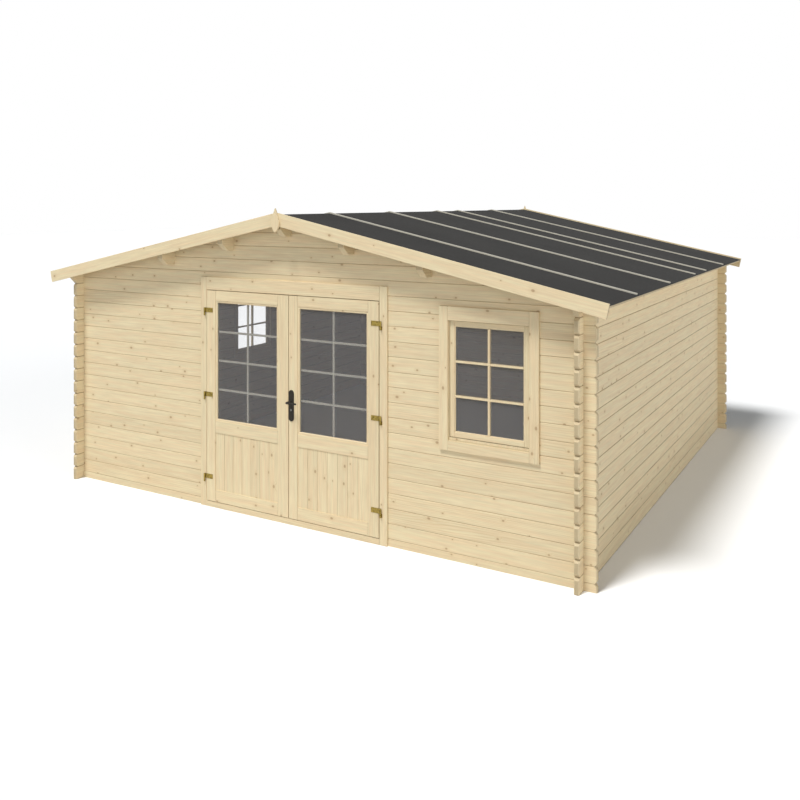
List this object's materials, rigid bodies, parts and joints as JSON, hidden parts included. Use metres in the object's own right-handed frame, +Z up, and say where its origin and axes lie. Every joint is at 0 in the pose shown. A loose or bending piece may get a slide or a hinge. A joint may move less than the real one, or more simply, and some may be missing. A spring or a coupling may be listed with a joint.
{
  "type": "log cabin garden shed",
  "caption": "Log cabin garden shed with a low gable roof, interlocking log corners, felt roof with battens, half-glazed double door and small-paned windows.",
  "frame": {"origin": "middle of the plan on the ground", "axes": "+Z up, the door front faces -Y, +X to the right as seen from the front"},
  "size_m": [5.6576, 5.572, 2.6938],
  "materials": {
    "log_spruce": "untreated spruce logs with fine grain and small knots",
    "planed_spruce": "planed untreated spruce",
    "board_spruce": "sawn tongue-and-groove roof boards",
    "batten_spruce": "thin weathered battens",
    "roofing_felt": "mineral-faced bitumen roofing felt",
    "glass": "clear pane that reads dark grey",
    "brass": "plain brass",
    "black_metal": "satin black coated steel"
  },
  "bodies": {
    "shed": {"front_wall_left": "log_spruce", "front_wall_right": "log_spruce", "front_gable": "log_spruce", "rear_wall": "log_spruce", "left_wall": "log_spruce", "right_wall": "log_spruce", "ridge_purlin": "log_spruce", "left_upper_purlin": "log_spruce", "left_lower_purlin": "log_spruce", "right_upper_purlin": "log_spruce", "right_lower_purlin": "log_spruce", "roof_boards_left": "board_spruce", "roof_boards_right": "board_spruce", "roof_felt_left": "roofing_felt", "roof_felt_right": "roofing_felt", "felt_battens_left": "batten_spruce", "felt_battens_right": "batten_spruce", "front_barge_left": "planed_spruce", "front_barge_right": "planed_spruce", "rear_barge_left": "planed_spruce", "rear_barge_right": "planed_spruce", "front_finial": "planed_spruce", "rear_finial": "planed_spruce", "door_jambs": "planed_spruce", "door_head": "planed_spruce", "door_threshold": "planed_spruce", "door_casings": "planed_spruce", "door_head_casing": "planed_spruce", "front_window_frame": "planed_spruce", "front_window_sash": "planed_spruce", "front_window_trim": "planed_spruce", "left_window_frame": "planed_spruce", "left_window_sash": "planed_spruce", "left_window_trim": "planed_spruce", "front_window_glass": "glass", "left_window_glass": "glass", "hinge_pins": "brass"},
    "left_leaf": {"left_leaf_frame": "planed_spruce", "left_leaf_panel": "planed_spruce", "left_leaf_glass": "glass", "left_leaf_hinges": "brass"},
    "right_leaf": {"right_leaf_frame": "planed_spruce", "right_leaf_panel": "planed_spruce", "right_leaf_glass": "glass", "right_leaf_hinges": "brass", "handle_plates": "black_metal"},
    "lever": {"door_lever": "black_metal"}
  },
  "joints": [
    {"name": "left_door_swing", "type": "hinge", "parent": "shed", "child": "left_leaf", "pos_m": [-0.93, -2.618, 0], "axis": [0, 0, -1], "range_deg": [0, 120]},
    {"name": "right_door_swing", "type": "hinge", "parent": "shed", "child": "right_leaf", "pos_m": [0.93, -2.618, 0], "axis": [0, 0, 1], "range_deg": [0, 120]},
    {"name": "lever_turn", "type": "hinge", "parent": "right_leaf", "child": "lever", "pos_m": [0.042, -2.59, 1.05], "axis": [0, 1, 0], "range_deg": [0, 45], "stiffness_Nm_per_rad": 1.2, "springref_deg": -20.05}
  ]
}
